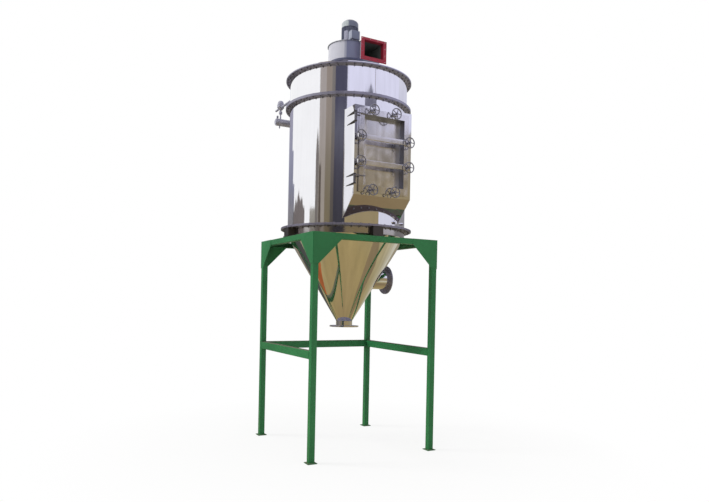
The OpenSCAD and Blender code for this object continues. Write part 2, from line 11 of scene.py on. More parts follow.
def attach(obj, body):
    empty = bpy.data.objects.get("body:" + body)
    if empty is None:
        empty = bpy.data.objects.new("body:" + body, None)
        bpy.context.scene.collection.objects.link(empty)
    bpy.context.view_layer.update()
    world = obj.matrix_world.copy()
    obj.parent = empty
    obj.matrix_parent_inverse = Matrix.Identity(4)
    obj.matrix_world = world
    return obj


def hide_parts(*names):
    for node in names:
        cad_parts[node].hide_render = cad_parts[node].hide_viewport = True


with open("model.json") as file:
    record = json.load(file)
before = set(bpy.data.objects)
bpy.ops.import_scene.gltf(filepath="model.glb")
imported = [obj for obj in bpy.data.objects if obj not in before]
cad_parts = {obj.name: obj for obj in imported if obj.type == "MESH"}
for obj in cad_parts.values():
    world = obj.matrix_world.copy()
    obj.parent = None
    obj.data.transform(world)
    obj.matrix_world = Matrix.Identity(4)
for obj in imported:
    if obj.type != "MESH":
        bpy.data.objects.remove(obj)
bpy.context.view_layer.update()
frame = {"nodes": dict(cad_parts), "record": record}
nodes = frame["nodes"]
record = frame["record"]

# Sizes of the CAD part that the added pieces are fitted to, in metres
SHELL_R = 0.653
SKIRT_LOW = 2.289
JOINT_LOW = 2.370
LOW_FLANGE = 0.010
JOINT_MID = 3.704
MID_FLANGE = 0.013
ROOF_TOP = 4.025
ROOF_FLANGE = 0.016
NECK_R = 0.091
NECK_TOP = 1.365
OUTLET_TOP = 1.311
INLET_Z = 1.838
HOUSING_FRONT = -0.786
HOUSING_HALF = 0.334
HOUSING_LOW = 2.650
HOUSING_TOP = 3.540
HOUSING_SLOPE = 0.97
FAN_NECK_R = 0.154
FAN_FOOT = 0.010
SCROLL_LOW = 4.243
SCROLL_TOP = 4.433
MOTOR_FOOT = 0.014
COWL_R = 0.095
HEADER_Y = 0.800
HEADER_Z = 3.710
BAG_ROWS = 6
ROW_PITCH = 0.200
LEG_AT = 0.700
LEG_HALF = 0.030
FOOT_TOP = 0.008
BEAM_SPAN = (2.200, 2.260)
BRACE_SPAN = (1.012, 1.094)


def new_object(name, data):
    """An object of the scene that holds a mesh, a camera or a lamp."""
    obj = bpy.data.objects.new(name, data)
    bpy.context.scene.collection.objects.link(obj)
    return obj


# ---- Camera ----

def make_camera():
    """A camera on a level axis, left of the door and turned to the right, rolled by a degree."""
    place = Vector((-3.234, -6.220, 1.6027))
    yaw = 0.4923
    roll = 0.0203
    forward = Vector((math.sin(yaw), math.cos(yaw), 0.0))
    level_right = Vector((math.cos(yaw), -math.sin(yaw), 0.0))
    level_up = Vector((0.0, 0.0, 1.0))
    right = math.cos(roll) * level_right + math.sin(roll) * level_up
    up = -math.sin(roll) * level_right + math.cos(roll) * level_up
    data = bpy.data.cameras.new("camera")
    data.sensor_width = 36.0
    data.lens = 31.63
    data.shift_x = 0.0028
    data.shift_y = 0.0686
    data.clip_end = 200.0
    camera = new_object("camera", data)
    turn = Matrix((right, up, -forward)).transposed().to_4x4()
    camera.matrix_world = Matrix.Translation(place) @ turn
    bpy.context.scene.camera = camera


def direction(azimuth, rise=0.0):
    """A unit vector; the azimuth runs in degrees from the door's side (-Y) towards +X."""
    a = math.radians(azimuth)
    r = math.radians(rise)
    return Vector((math.sin(a) * math.cos(r), -math.cos(a) * math.cos(r), math.sin(r)))


# ---- Shader nodes ----

def add_node(tree, kind, values=None, **settings):
    """A shader node; each value is set on its socket, or joined to it if it is a socket too."""
    node = tree.nodes.new(kind)
    for name, value in settings.items():
        setattr(node, name, value)
    for socket, value in (values or {}).items():
        if isinstance(value, bpy.types.NodeSocket):
            tree.links.new(value, node.inputs[socket])
        else:
            node.inputs[socket].default_value = value
    return node


def math_node(tree, operation, first, second=0.0):
    """A Math node; each operand is a socket or a number."""
    node = add_node(tree, "ShaderNodeMath", {0: first, 1: second}, operation=operation)
    return node.outputs[0]


def object_spot(tree):
    """The place on the object, in its own coordinates."""
    return add_node(tree, "ShaderNodeTexCoord").outputs["Object"]


def distance_out(tree):
    """The distance from the object's origin."""
    length = add_node(tree, "ShaderNodeVectorMath", {0: object_spot(tree)}, operation="LENGTH")
    return length.outputs["Value"]


def component(tree, vector, axis):
    """One component of a vector socket."""
    return add_node(tree, "ShaderNodeSeparateXYZ", {0: vector}).outputs[axis]


def towards(tree, vector, aim):
    """The dot product of a vector socket with a fixed direction."""
    dot = add_node(tree, "ShaderNodeVectorMath", {0: vector, 1: aim}, operation="DOT_PRODUCT")
    return dot.outputs["Value"]


def noise_at(tree, scale, detail=3.0, stretch=(1.0, 1.0, 1.0)):
    """A noise value on object coordinates; a stretch over 1 makes it finer along that axis."""
    mapping = add_node(tree, "ShaderNodeMapping", {"Vector": object_spot(tree), "Scale": stretch})
    noise = add_node(tree, "ShaderNodeTexNoise",
                     {"Vector": mapping.outputs[0], "Scale": scale, "Detail": detail})
    return noise.outputs["Fac"]


def spread(tree, value, low, high, start=0.3, end=0.7):
    """Maps a value onto a range."""
    node = add_node(tree, "ShaderNodeMapRange", {
        "Value": value, "From Min": start, "From Max": end, "To Min": low, "To Max": high})
    return node.outputs["Result"]


def empty_material(name):
    """A material with no shader yet; returns it, its tree and its output's surface socket."""
    mat = bpy.data.materials.new(name)
    mat.use_nodes = True
    tree = mat.node_tree
    tree.nodes.clear()
    output = add_node(tree, "ShaderNodeOutputMaterial")
    return mat, tree, output.inputs["Surface"]


def seen_rays(tree):
    """1 for camera, glossy and transmission rays, 0 for the rays that light a surface."""
    path = add_node(tree, "ShaderNodeLightPath")
    camera_or_glossy = math_node(
        tree, "MAXIMUM", path.outputs["Is Camera Ray"], path.outputs["Is Glossy Ray"])
    return math_node(tree, "MAXIMUM", camera_or_glossy, path.outputs["Is Transmission Ray"])


# ---- Lamps and surroundings ----

def make_world():
    """White to look at; it lights softly, more from the left than from the right."""
    dim = 0.10
    bright = 0.92
    brightest = direction(-55.0, 20.0)
    world = bpy.data.worlds.new("studio")
    bpy.context.scene.world = world
    world.use_nodes = True
    tree = world.node_tree
    tree.nodes.clear()
    coords = add_node(tree, "ShaderNodeTexCoord")
    level = spread(tree, towards(tree, coords.outputs["Generated"], brightest),
                   dim, bright, -0.9, 0.9)
    strength = math_node(tree, "MAXIMUM", level, seen_rays(tree))
    background = add_node(tree, "ShaderNodeBackground",
                          {"Color": (1.0, 1.0, 1.0, 1.0), "Strength": strength})
    add_node(tree, "ShaderNodeOutputWorld", {"Surface": background.outputs[0]})


def make_lamps():
    """One soft key from the left, as the stand's left faces are the lighter ones."""
    key_from = direction(-118.0, 32.0)
    data = bpy.data.lights.new("key", "SUN")
    data.energy = 1.9
    data.angle = math.radians(20.0)
    data.color = (1.0, 0.985, 0.96)
    key = new_object("key", data)
    key.rotation_mode = "QUATERNION"
    key.rotation_quaternion = key_from.to_track_quat("Z", "Y")
    key.visible_glossy = False


def link_mesh(name, bm):
    """Makes an object of a bmesh and frees the bmesh."""
    mesh = bpy.data.meshes.new(name)
    bm.to_mesh(mesh)
    bm.free()
    return new_object(name, mesh)


def make_floor():
    """A pale floor: it keeps the shadow near the stand and fades to white further out."""
    size = 60.0
    fade_start, fade_end = 0.8, 3.2
    bm = bmesh.new()
    bmesh.ops.create_grid(bm, x_segments=4, y_segments=4, size=size)
    floor = link_mesh("floor", bm)
    mat, tree, surface = empty_material("floor_paper")
    ramp = spread(tree, distance_out(tree), 0.80, 1.0, fade_start, fade_end)
    share = math_node(tree, "MULTIPLY", ramp, seen_rays(tree))
    paper = add_node(tree, "ShaderNodeBsdfDiffuse", {"Color": (0.92, 0.92, 0.92, 1.0)})
    glow = add_node(tree, "ShaderNodeEmission", {"Color": (1.0, 1.0, 1.0, 1.0), "Strength": 1.0})
    mix = add_node(tree, "ShaderNodeMixShader", {0: share, 1: paper.outputs[0], 2: glow.outputs[0]})
    tree.links.new(mix.outputs[0], surface)
    floor.data.materials.append(mat)


# ---- What the polished steel mirrors ----

CARD_REACH = 10.0
SHADE_SPAN = 12.0


def card_material(name, stops, along):
    """A card that glows in shades which follow its height, or its distance from the middle."""
    drift = 0.9
    mottle = 0.05 if along == "height" else 0.14
    mat, tree, surface = empty_material(name)
    level = spread(tree, noise_at(tree, 1.1, 6.0), 1.0 + mottle, 1.0 - mottle)
    if along == "height":
        measure = component(tree, object_spot(tree), "Z")
    else:
        measure = distance_out(tree)
    centred = math_node(tree, "SUBTRACT", noise_at(tree, 0.5, 2.0), 0.5)
    shift = math_node(tree, "MULTIPLY", centred, drift)
    share = math_node(tree, "DIVIDE", math_node(tree, "ADD", measure, shift), SHADE_SPAN)
    ramp = add_node(tree, "ShaderNodeValToRGB", {"Fac": share})
    steps = ramp.color_ramp.elements
    while len(steps) < len(stops):
        steps.new(0.5)
    for step, (place, colour) in zip(steps, stops):
        step.position = place / SHADE_SPAN
        step.color = (*colour, 1.0)
    glow = add_node(tree, "ShaderNodeEmission", {"Color": ramp.outputs["Color"], "Strength": level})
    tree.links.new(glow.outputs[0], surface)
    return mat


def only_in_reflections(card, stops, along):
    """Shades a card that shows in polished steel and nowhere else."""
    card.data.materials.append(card_material(card.name, stops, along))
    for rays in ("camera", "diffuse", "shadow", "transmission"):
        setattr(card, "visible_" + rays, False)


def strip_mesh(name, pairs):
    """A strip of faces between pairs of points."""
    bm = bmesh.new()
    last = None
    for pair in pairs:
        corners = [bm.verts.new(point) for point in pair]
        if last is not None:
            bm.faces.new((last[0], corners[0], corners[1], last[1]))
        last = corners
    return link_mesh(name, bm)


def wall_card(name, start, end, top, *stops, wave=0.0, peak=0.0, back=0.0):
    """A curved card between two azimuths; its top may wave or rise to a peak in the middle."""
    radius = CARD_REACH + back
    count = max(4, int(end - start))
    pairs = []
    for index in range(count + 1):
        share = index / count
        degrees = start + (end - start) * share
        spot = direction(degrees) * radius
        ripple = math.sin(degrees * 0.61) + 0.6 * math.sin(degrees * 1.73 + 1.0)
        rise = top + wave * ripple + peak * (1.0 - abs(2.0 * share - 1.0))
        pairs.append(((spot.x, spot.y, 0.0), (spot.x, spot.y, rise)))
    card = strip_mesh("card_" + name, pairs)
    only_in_reflections(card, stops, "height")


def ground_card(name, start, end, near, far, height, *stops):
    """A flat card on the ground between two azimuths and two distances."""
    count = 48
    pairs = []
    for index in range(count + 1):
        spot = direction(start + (end - start) * index / count)
        pairs.append((spot * near, spot * far))
    card = strip_mesh("card_" + name, pairs)
    card.location.z = height
    only_in_reflections(card, stops, "distance")


def make_cards():
    """A yard with dark sheds to the left, low walls, open sky to the right and sandy ground."""
    earth = (0.30, 0.22, 0.105)
    sand = (0.365, 0.28, 0.122)
    ground_card("ground", -180.0, 180.0, 0.01, 40.0, 0.002,
                (0.5, earth), (2.0, sand), (3.6, (0.40, 0.34, 0.19)), (9.0, (0.62, 0.60, 0.50)))
    ground_card("ground_dark", -196.0, -142.0, 3.7, 10.0, 0.006,
                (3.0, (0.075, 0.080, 0.070)), (10.0, (0.06, 0.065, 0.06)))
    ground_card("ground_clay", -146.0, -107.0, 2.38, 3.2, 0.006,
                (2.2, (0.40, 0.115, 0.035)), (3.4, (0.30, 0.10, 0.04)))
    ground_card("ground_damp", 38.0, 72.0, 1.15, 3.0, 0.004,
                (1.2, (0.25, 0.178, 0.090)), (3.0, (0.25, 0.19, 0.105)))
    lavender = ((0.0, (0.13, 0.125, 0.12)), (3.7, (0.14, 0.135, 0.135)), (4.0, (0.19, 0.185, 0.22)),
                (4.5, (0.25, 0.255, 0.33)), (5.2, (0.30, 0.305, 0.40)), (6.6, (0.36, 0.35, 0.44)))
    wall_card("left_far", -196.0, -160.0, 6.8, *lavender)
    wall_card("left_middle", -160.0, -154.0, 5.5, *lavender)
    wall_card("left_near", -154.0, -148.0, 4.6, *lavender)
    wall_card("left_mound", -148.0, -113.0, 3.95,
              (0.0, (0.15, 0.13, 0.12)), (4.2, (0.19, 0.165, 0.16)), wave=0.08, peak=0.35)
    wall_card("left_gap", -113.0, -100.0, 3.3, (0.0, (0.20, 0.18, 0.17)), (3.3, (0.24, 0.22, 0.2)))
    wall_card("left_low", -100.0, -88.0, 3.9, (0.0, (0.20, 0.18, 0.15)), (3.7, (0.32, 0.30, 0.26)))
    wall_card("shed_edge", -88.0, -82.0, 5.3,
              (0.0, (0.17, 0.15, 0.12)), (5.4, (0.20, 0.18, 0.17)), wave=0.15, peak=0.9)
    wall_card("shed_pale", -82.0, -69.0, 8.0,
              (0.0, (0.30, 0.26, 0.20)), (5.0, (0.36, 0.32, 0.28)), (6.5, (0.40, 0.36, 0.34)))
    wall_card("shed_slot", -81.0, -76.5, 5.0,
              (0.0, (0.09, 0.07, 0.055)), (5.0, (0.11, 0.09, 0.075)), back=-0.1)
    wall_card("shed_brown", -69.0, -58.0, 8.0,
              (3.5, (0.195, 0.160, 0.096)), (5.0, (0.215, 0.185, 0.135)), (6.4, (0.30, 0.255, 0.22)))
    wall_card("shed_shade", -58.0, -52.0, 9.0,
              (3.5, (0.085, 0.075, 0.062)), (5.0, (0.15, 0.13, 0.12)), (6.6, (0.21, 0.19, 0.18)))
    wall_card("shed_navy", -52.0, -30.0, 13.0,
              (3.5, (0.045, 0.043, 0.053)), (4.8, (0.065, 0.062, 0.085)),
              (5.9, (0.118, 0.118, 0.155)), (6.8, (0.075, 0.074, 0.115)))
    wall_card("right_low", -30.0, 35.0, 5.72,
              (0.0, (0.32, 0.25, 0.13)), (4.0, (0.32, 0.255, 0.14)), (4.9, (0.29, 0.25, 0.19)),
              (5.7, (0.31, 0.28, 0.24)), wave=0.1)
    wall_card("right_dip", 35.0, 78.0, 3.25, (0.0, (0.34, 0.27, 0.15)), (3.2, (0.42, 0.38, 0.28)))
    wall_card("right_wall", 78.0, 208.0, 4.2,
              (0.0, (0.36, 0.31, 0.20)), (2.6, (0.24, 0.225, 0.20)), (4.2, (0.30, 0.295, 0.335)),
              wave=0.25)
    wall_card("right_sky", -30.0, 84.0, 30.0,
              (3.0, (0.70, 0.70, 0.80)), (6.0, (0.70, 0.70, 0.855)), (7.6, (0.76, 0.755, 0.92)),
              back=0.4)
    wall_card("right_haze", 84.0, 172.0, 30.0,
              (3.0, (0.62, 0.62, 0.70)), (6.5, (0.60, 0.60, 0.73)), (8.0, (0.72, 0.72, 0.82)),
              back=0.4)
    tower = (0.17, 0.165, 0.215)
    haze = (0.38, 0.38, 0.48)
    trees = (0.165, 0.16, 0.215)
    wall_card("tower_low", 3.0, 25.9, 6.92, (6.4, trees), (6.92, tower), back=0.2)
    wall_card("tower_mid", 9.0, 19.0, 7.06, (6.9, tower), (7.06, haze), back=0.25)
    wall_card("tower_top", 12.0, 16.0, 7.16, (7.0, tower), (7.16, haze), back=0.3)


# ---- Materials ----

def new_material(name, values=None):
    """A material with a Principled shader; returns the material, its tree and the shader."""
    mat, tree, surface = empty_material(name)
    shader = add_node(tree, "ShaderNodeBsdfPrincipled", values)
    tree.links.new(shader.outputs[0], surface)
    return mat, tree, shader


def feed(tree, shader, colour, roughness):
    """Joins a colour and a roughness to the shader."""
    tree.links.new(colour, shader.inputs["Base Color"])
    tree.links.new(roughness, shader.inputs["Roughness"])


def blend_colours(tree, value, first, second):
    """A colour between two, by a value from 0 to 1."""
    ramp = add_node(tree, "ShaderNodeValToRGB", {"Fac": value})
    ramp.color_ramp.elements[0].color = (*first, 1.0)
    ramp.color_ramp.elements[1].color = (*second, 1.0)
    return ramp.outputs["Color"]


def lay_over(tree, base, share, colour):
    """Lays a plain colour over a colour socket, by a share from 0 to 1."""
    mix = add_node(tree, "ShaderNodeMix", {0: share, 6: base, 7: (*colour, 1.0)}, data_type="RGBA")
    return mix.outputs[2]


def bump(tree, shader, height, strength, distance, before=None):
    """Adds a bump to the shader's normal, on top of an earlier one."""
    node = add_node(tree, "ShaderNodeBump",
                    {"Height": height, "Strength": strength, "Distance": distance})
    if before is not None:
        tree.links.new(before.outputs[0], node.inputs["Normal"])
    tree.links.new(node.outputs[0], shader.inputs["Normal"])
    return node


def upward(tree):
    """1 on faces that look up, where dust settles, and 0 on the others."""
    geometry = add_node(tree, "ShaderNodeNewGeometry")
    height = component(tree, geometry.outputs["True Normal"], "Z")
    return spread(tree, height, 0.0, 1.0, 0.6, 0.9)


def steel(name, first, second, rough_low, rough_high, wave, grain, metallic=1.0):
    """Stainless steel: smudges in colour and gloss, slow waves of the sheet and a fine grain."""
    mat, tree, shader = new_material(name, {"Metallic": metallic})
    smudge = noise_at(tree, 3.0, 4.0)
    colour = blend_colours(tree, smudge, first, second)
    streaks = spread(tree, noise_at(tree, 34.0, 4.0, (1.0, 1.0, 0.05)), 0.0, 0.05, 0.45, 0.75)
    grey = tuple(0.62 * channel for channel in first)
    film = noise_at(tree, 9.0, 5.0, (1.0, 1.0, 0.35))
    feed(tree, shader, lay_over(tree, colour, streaks, grey),
         spread(tree, film, rough_low, rough_high))
    waves = bump(tree, shader, noise_at(tree, 1.1, 1.0), 1.0, wave)
    bump(tree, shader, noise_at(tree, 260.0, 2.0, (1.0, 1.0, 0.12)), 0.05, grain, waves)
    return mat


def beside_walls(tree, middle, half, width):
    """1 next to two upright walls that face each other across x, 0 further in than a width."""
    off = math_node(tree, "SUBTRACT", component(tree, object_spot(tree), "X"), middle)
    off = math_node(tree, "ABSOLUTE", off)
    full = half - 0.4 * width
    return spread(tree, off, 0.0, 1.0, half - width, full)


def brushed(name, first, second, rough_low, rough_high, rim=None):
    """Satin sheet: level brush lines, cloudy gloss and stains; duller next to a rim's walls."""
    rim_dullness = 0.30
    stain = (0.34, 0.30, 0.26)
    mat, tree, shader = new_material(name, {"Metallic": 1.0})
    cloud = spread(tree, noise_at(tree, 6.0, 5.0), 0.0, 1.0)
    colour = blend_colours(tree, cloud, first, second)
    runs = spread(tree, noise_at(tree, 16.0, 3.0, (1.0, 1.0, 0.08)), 0.0, 0.35, 0.5, 0.75)
    gloss = spread(tree, noise_at(tree, 12.0, 5.0), rough_low, rough_high)
    if rim is not None:
        dulled = math_node(tree, "MULTIPLY", beside_walls(tree, *rim), rim_dullness)
        gloss = math_node(tree, "ADD", gloss, dulled)
    feed(tree, shader, lay_over(tree, colour, runs, stain), gloss)
    lines = bump(tree, shader, noise_at(tree, 40.0, 4.0, (0.15, 1.0, 18.0)), 0.12, 0.0006)
    bump(tree, shader, noise_at(tree, 2.4, 2.0), 0.8, 0.0015, lines)
    return mat


def painted_sunlit_side(tree):
    """1 on the faces turned to the sun and 0 on the faces turned away from it: the mask for painted
    sunlight.
    """
    sun = direction(-95.0)
    geometry = add_node(tree, "ShaderNodeNewGeometry")
    facing = towards(tree, geometry.outputs["True Normal"], sun)
    return spread(tree, facing, 0.0, 1.0, 0.46, 0.58)


def paint(name, colour, shade, roughness, coat, painted_light=None, dust=(0.16, 0.13, 0.095)):
    """Sprayed enamel: a faint orange peel, cloudy gloss, dust on the faces that look up, and, where
    a colour is given, painted sunlight, which lays that lighter colour on the faces turned to the
    sun.
    """
    mat, tree, shader = new_material(
        name, {"Coat Weight": coat, "Coat Roughness": 0.18, "Specular IOR Level": 0.3})
    cloud = spread(tree, noise_at(tree, 2.2, 5.0), 0.0, 1.0)
    base = blend_colours(tree, cloud, shade, colour)
    # Painted sunlight: a lighter colour on the faces turned to the sun.
    if painted_light is not None:
        base = lay_over(tree, base, painted_sunlit_side(tree), painted_light)
    specks = spread(tree, noise_at(tree, 30.0, 6.0), 0.55, 0.95, 0.35, 0.65)
    film = math_node(tree, "MULTIPLY", upward(tree), specks)
    gloss = spread(tree, noise_at(tree, 14.0, 4.0), roughness, roughness + 0.12)
    dull = math_node(tree, "MULTIPLY", film, 0.4)
    feed(tree, shader, lay_over(tree, base, film, dust), math_node(tree, "ADD", gloss, dull))
    peel = bump(tree, shader, noise_at(tree, 420.0, 2.0), 0.08, 0.0006)
    bump(tree, shader, noise_at(tree, 18.0, 3.0), 0.15, 0.002, peel)
    return mat


def felt():
    """Needle felt: matted fibres with a soft sheen and grey dust in the folds."""
    mat, tree, shader = new_material("felt", {"Roughness": 0.92, "Sheen Weight": 0.3})
    fluff = spread(tree, noise_at(tree, 60.0, 6.0), 0.0, 1.0)
    colour = blend_colours(tree, fluff, (0.66, 0.64, 0.57), (0.80, 0.78, 0.72))
    dusty = spread(tree, noise_at(tree, 5.0, 4.0, (1.0, 1.0, 0.4)), 0.0, 0.6, 0.45, 0.75)
    tree.links.new(
        lay_over(tree, colour, dusty, (0.42, 0.39, 0.34)), shader.inputs["Base Color"])
    bump(tree, shader, noise_at(tree, 900.0, 3.0), 0.35, 0.0012)
    return mat


def rubber():
    """Black gasket rubber with a bloom of talc."""
    mat, tree, shader = new_material("gasket_rubber")
    colour = blend_colours(
        tree, noise_at(tree, 30.0), (0.018, 0.018, 0.019), (0.045, 0.045, 0.047))
    feed(tree, shader, colour, spread(tree, noise_at(tree, 80.0), 0.6, 0.8))
    bump(tree, shader, noise_at(tree, 500.0, 3.0), 0.2, 0.0005)
    return mat


def weld_metal():
    """An uncleaned weld: dull steel with straw and blue heat tint."""
    mat, tree, shader = new_material("weld_metal", {"Metallic": 1.0})
    tint = spread(tree, noise_at(tree, 25.0), 0.0, 1.0)
    colour = blend_colours(tree, tint, (0.40, 0.34, 0.28), (0.42, 0.42, 0.50))
    feed(tree, shader, colour, spread(tree, noise_at(tree, 120.0), 0.25, 0.45))
    return mat


def make_materials():
    """One material for each finish; a row holds what steel() or paint() takes after the name."""
    steels = {
        "mirror_stainless": ((0.84, 0.84, 0.87), (0.92, 0.92, 0.95), 0.03, 0.085, 0.0022, 0.0004),
        "dull_stainless": ((0.30, 0.30, 0.36), (0.44, 0.44, 0.51), 0.30, 0.46, 0.0006, 0.0006),
        "ring_steel": ((0.24, 0.23, 0.32), (0.34, 0.33, 0.42), 0.36, 0.52, 0.0006, 0.0006, 0.75),
        "dark_top_steel": ((0.115, 0.094, 0.096), (0.17, 0.138, 0.138), 0.45, 0.6, 0.0006, 0.0006),
        "cast_alloy": ((0.34, 0.34, 0.42), (0.46, 0.46, 0.54), 0.30, 0.46, 0.0004, 0.0010, 0.6),
        "plate_alloy": ((0.31, 0.315, 0.415), (0.37, 0.375, 0.475), 0.35, 0.5, 0.0003, 0.0003, 0.25),
        # Painted shade: darker steel for the pan's walls and for the band under the hopper's flange
        # ring.
        "shaded_pan_wall": ((0.24, 0.25, 0.31), (0.33, 0.34, 0.41), 0.30, 0.42, 0.0006, 0.0005),
        "shaded_band_steel": ((0.46, 0.44, 0.44), (0.60, 0.58, 0.58), 0.10, 0.18, 0.0015, 0.0005),
        "black_iron": ((0.085, 0.080, 0.085), (0.13, 0.125, 0.13), 0.35, 0.5, 0.0004, 0.0010),
        "dark_iron": ((0.20, 0.20, 0.24), (0.34, 0.34, 0.39), 0.28, 0.45, 0.0004, 0.0010),
        "zinc": ((0.55, 0.55, 0.58), (0.72, 0.72, 0.75), 0.2, 0.38, 0.0003, 0.0005),
        "old_zinc": ((0.22, 0.22, 0.27), (0.34, 0.34, 0.40), 0.35, 0.5, 0.0003, 0.0005),
    }
    paints = {
        "green_paint": ((0.024, 0.180, 0.058), (0.016, 0.134, 0.044), 0.42, 0.12),
        # A fifth value in a paint row is painted sunlight: a lighter colour on the faces turned to
        # the sun.
        "grey_paint": ((0.185, 0.198, 0.31), (0.160, 0.172, 0.27), 0.28, 0.3, (0.50, 0.50, 0.56)),
        "motor_paint": ((0.155, 0.172, 0.25), (0.125, 0.138, 0.205), 0.3, 0.25),
        "box_paint": ((0.20, 0.225, 0.33), (0.16, 0.18, 0.27), 0.3, 0.25, (0.31, 0.335, 0.42)),
        "cowl_paint": ((0.16, 0.18, 0.25), (0.13, 0.145, 0.21), 0.3, 0.25, (0.42, 0.46, 0.48)),
        "red_paint": ((0.40, 0.024, 0.050), (0.28, 0.016, 0.036), 0.38, 0.15),
    }
    finishes = {name: steel(name, *row) for name, row in steels.items()}
    finishes.update({name: paint(name, *row) for name, row in paints.items()})
    finishes.update({
        "satin_stainless": brushed(
            "satin_stainless", (0.70, 0.69, 0.72), (0.92, 0.91, 0.95), 0.08, 0.18),
        "pan_floor": brushed(
            "pan_floor", (0.66, 0.65, 0.67), (1.00, 0.99, 1.00), 0.10, 0.20,
            rim=(-0.005, 0.240, 0.085)),
        # Near-black paint for the inside of the fan casing is painted shade, with a darker dust on
        # the faces that look up.
        "duct_painted_shade": paint("duct_painted_shade", (0.15, 0.165, 0.155), (0.11, 0.12, 0.115), 0.8, 0.0,
                             dust=(0.09, 0.08, 0.07)),
        "felt": felt(),
        "gasket_rubber": rubber(),
        "weld_metal": weld_metal(),
    })
    return finishes


def set_material(obj, name):
    """Gives an object one material on all its faces."""
    obj.data.materials.clear()
    obj.data.materials.append(materials[name])
    for polygon in obj.data.polygons:
        polygon.material_index = 0


def dress_nodes():
    """Gives each CAD node the finish that the record names for it."""
    for part in record["subparts"]:
        set_material(nodes[part["node"]], part["material_slot"])
    for name in ("hopper_flange_ring", "middle_flange_ring", "top_flange_ring"):
        set_material(nodes[name], "ring_steel")
    for name in ("air_header", "pulse_valves", "blow_pipes"):
        set_material(nodes[name], "cast_alloy")
    set_material(nodes["motor"], "motor_paint")
    dress_hopper_band()
    dress_inlet_flange()
    reach = 0.019
    dress_top("discharge_neck", "ring_steel", OUTLET_TOP - reach, OUTLET_TOP + reach)
    # The hopper ring's top faces get a darker brown-grey steel.
    dress_top("hopper_flange_ring", "dark_top_steel", JOINT_LOW, HOUSING_LOW)


def dress_faces(obj, name, chosen):
    """Gives another material to the faces that a test picks out."""
    mesh = obj.data
    mesh.materials.append(materials[name])
    index = len(mesh.materials) - 1
    for polygon in mesh.polygons:
        if chosen(polygon):
            polygon.material_index = index


def dress_hopper_band():
    """The short upright band at the hopper's top, under the flange ring, is less polished than the
    cone, and its darker colour is painted shade under the ring.
    """
    slack = 0.002

    def on_band(polygon):
        spot = polygon.center
        outside = math.hypot(spot.x, spot.y) > SHELL_R - slack
        upright = abs(polygon.normal.z) < 0.2
        return outside and upright and spot.z > SKIRT_LOW + slack
    # Painted shade under the flange ring: the band's steel is darker.
    dress_faces(nodes["hopper"], "shaded_band_steel", on_band)


def dress_inlet_flange():
    """The inlet's flange is turned from plate and stays duller than the duct."""
    flange_back = 0.515
    duct_radius = 0.104

    def on_flange(polygon):
        spot = polygon.center
        off_axis = math.hypot(spot.y, spot.z - INLET_Z)
        return spot.x > flange_back and off_axis > duct_radius
    dress_faces(nodes["inlet_duct"], "ring_steel", on_flange)


def dress_top(name, mat, low, high):
    """Gives another material to the faces of a node that look up between two heights."""
    dress_faces(nodes[name], mat,
                lambda polygon: polygon.normal.z > 0.9 and low < polygon.center.z < high)


def dress_duct_inside():
    """The faces inside the fan casing get a near-black paint: painted shade for the dim inside of
    the casing.
    """
    sheet = 0.0015
    duct_start = -0.16
    duct_left = 0.005
    duct_middle = 0.141

    def inside(polygon):
        spot = polygon.center
        normal = polygon.normal
        between = SCROLL_LOW + sheet < spot.z < SCROLL_TOP - sheet
        flat = abs(normal.z) > 0.7
        in_duct = spot.x > duct_left and spot.y < duct_start and abs(normal.x) > 0.95
        if in_duct:
            inward = (duct_middle - spot.x) * normal.x > 0.0
        else:
            inward = abs(normal.z) < 0.3 and normal.x * spot.x + normal.y * spot.y < 0.0
        return between and (flat or inward)
    dress_faces(nodes["fan_scroll"], "duct_painted_shade", inside)


# ---- Mesh tools ----

def body_of_node(name):
    """The name of the CAD body that a node belongs to."""
    bodies = record["behaviour"]["bodies"]
    return next(body for body, members in bodies.items() if name in members)


def smooth_shading(obj, angle):
    """Smooth faces with hard edges where the surface turns by more than an angle."""
    for polygon in obj.data.polygons:
        polygon.use_smooth = True
    obj.data.set_sharp_from_angle(angle=math.radians(angle))
    weighted = obj.modifiers.new("weighted_normals", "WEIGHTED_NORMAL")
    weighted.keep_sharp = True


def add_piece(name, bm, body, mat, angle=35.0):
    """Makes a piece of the object: it rides on a CAD body and gets its material."""
    bmesh.ops.recalc_face_normals(bm, faces=bm.faces)
    obj = link_mesh(name, bm)
    set_material(obj, mat)
    smooth_shading(obj, angle)
    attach(obj, body)
    return obj


def dress_pan(obj):
    """The door's pan: a darker, duller steel on its walls, whose darker colour is painted shade in
    the recess, and a cloudy, rougher floor.
    """
    left, right = -0.245, 0.235
    low, high = 2.743, 3.453
    mouth, floor, back = -0.806, -0.760, -0.7305

    def in_pan(spot):
        return left < spot.x < right and low < spot.z < high

    def on_wall(polygon):
        spot = polygon.center
        return in_pan(spot) and mouth < spot.y < back and abs(polygon.normal.y) < 0.5

    def on_floor(polygon):
        spot = polygon.center
        return in_pan(spot) and spot.y > floor and polygon.normal.y < -0.5
    # Painted shade: the pan's walls get a darker steel.
    dress_faces(obj, "shaded_pan_wall", on_wall)
    dress_faces(obj, "pan_floor", on_floor)


